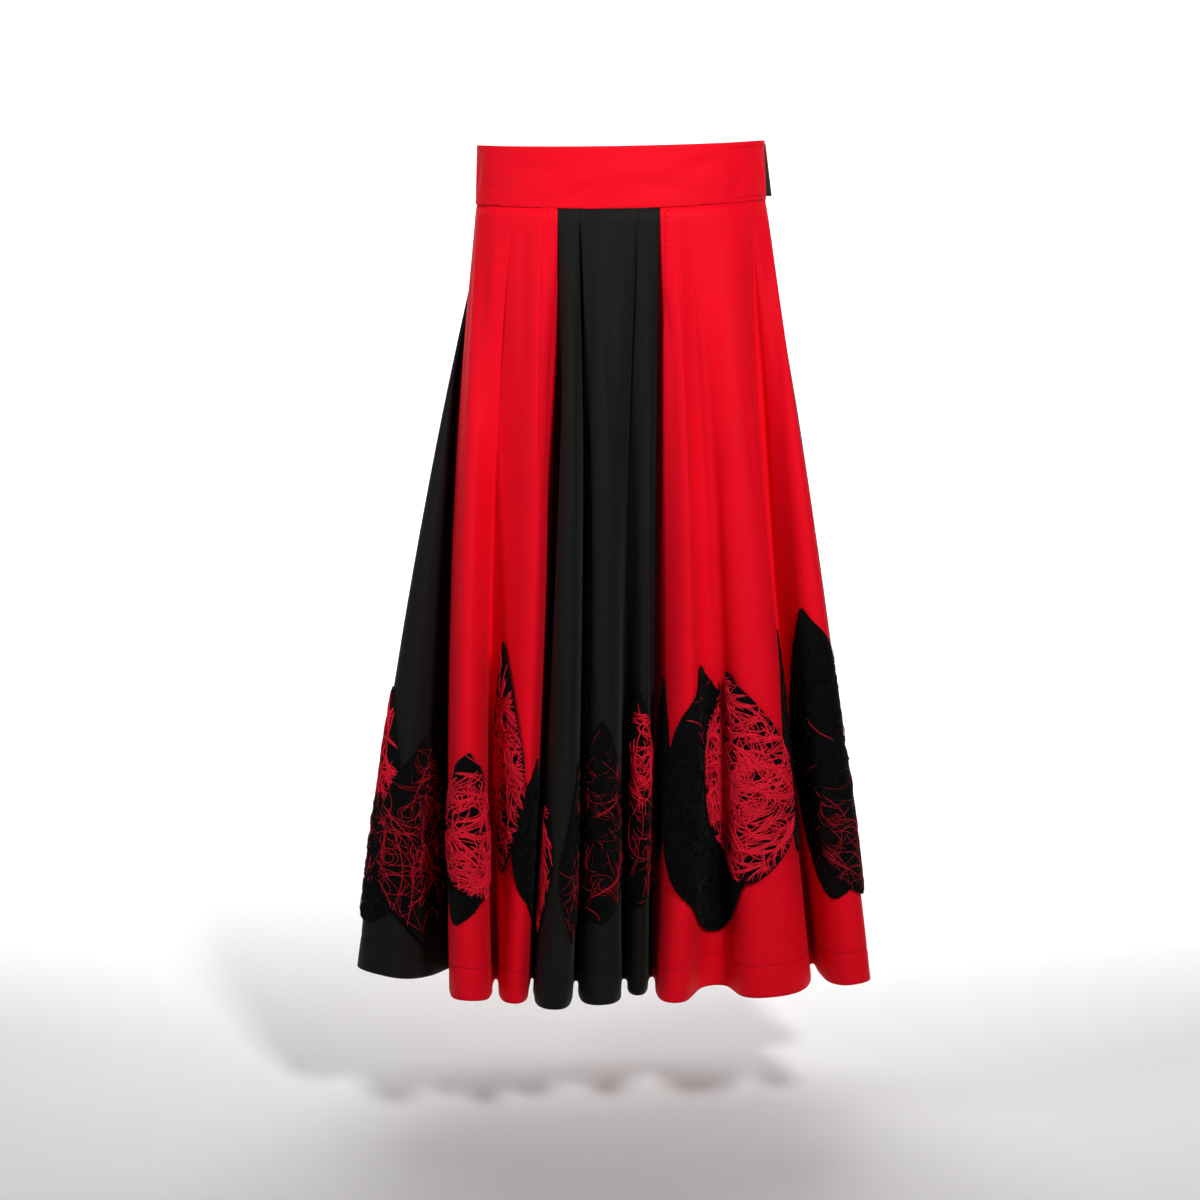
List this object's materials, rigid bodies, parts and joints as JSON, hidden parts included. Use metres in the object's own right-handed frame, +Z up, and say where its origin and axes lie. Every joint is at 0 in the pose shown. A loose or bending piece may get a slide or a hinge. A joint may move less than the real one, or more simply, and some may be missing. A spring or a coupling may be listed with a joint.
{
  "type": "circle skirt",
  "caption": "Long flared skirt of red and black gores in deep tubular folds, on a straight lapped waistband, with leaf patches of felt and tangled thread above the hem.",
  "frame": {"origin": "centre of the waist opening, halfway up the waistband", "axes": "+Z up out of the waist opening; +X to the right of the front view; the front faces -Y"},
  "size_m": [0.554, 0.372, 0.8835],
  "materials": {
    "red_cloth": "matt cotton twill with a slight sheen",
    "black_cloth": "matt cotton twill with a slight sheen",
    "red_lace": "tangled red thread stitched over dark felt",
    "black_felt": "matt raw-edged felt",
    "closure_tape": "dull woven fastening tape"
  },
  "bodies": {
    "root": {"waistband": "red_cloth", "closure_tape": "closure_tape", "gore_left_front": "red_cloth", "gore_centre_front": "black_cloth", "gore_right_front": "red_cloth", "gore_right_back": "black_cloth", "gore_centre_back": "red_cloth", "gore_left_back": "black_cloth", "leaf_01_red_lace": "red_lace", "leaf_02_black_felt": "black_felt", "leaf_03_red_tangle": "red_lace", "leaf_04_black_felt": "black_felt", "leaf_05_red_lace": "red_lace", "leaf_06_red_lace": "red_lace", "leaf_07_black_felt": "black_felt", "leaf_08_red_lace": "red_lace", "leaf_09_black_tangle": "black_felt", "leaf_10_black_tangle": "black_felt", "leaf_11_red_lace": "red_lace", "leaf_12_black_felt": "black_felt", "leaf_13_black_felt": "black_felt", "leaf_14_red_lace": "red_lace", "leaf_15_black_felt": "black_felt", "leaf_16_black_felt": "black_felt", "leaf_17_red_tangle": "red_lace", "leaf_18_red_lace": "red_lace", "leaf_19_black_tangle": "black_felt", "leaf_20_red_lace": "red_lace", "leaf_21_black_felt": "black_felt", "leaf_22_red_tangle": "red_lace", "leaf_23_black_felt": "black_felt", "leaf_24_black_felt": "black_felt", "leaf_25_red_lace": "red_lace", "leaf_26_red_lace": "red_lace"}
  },
  "joints": []
}
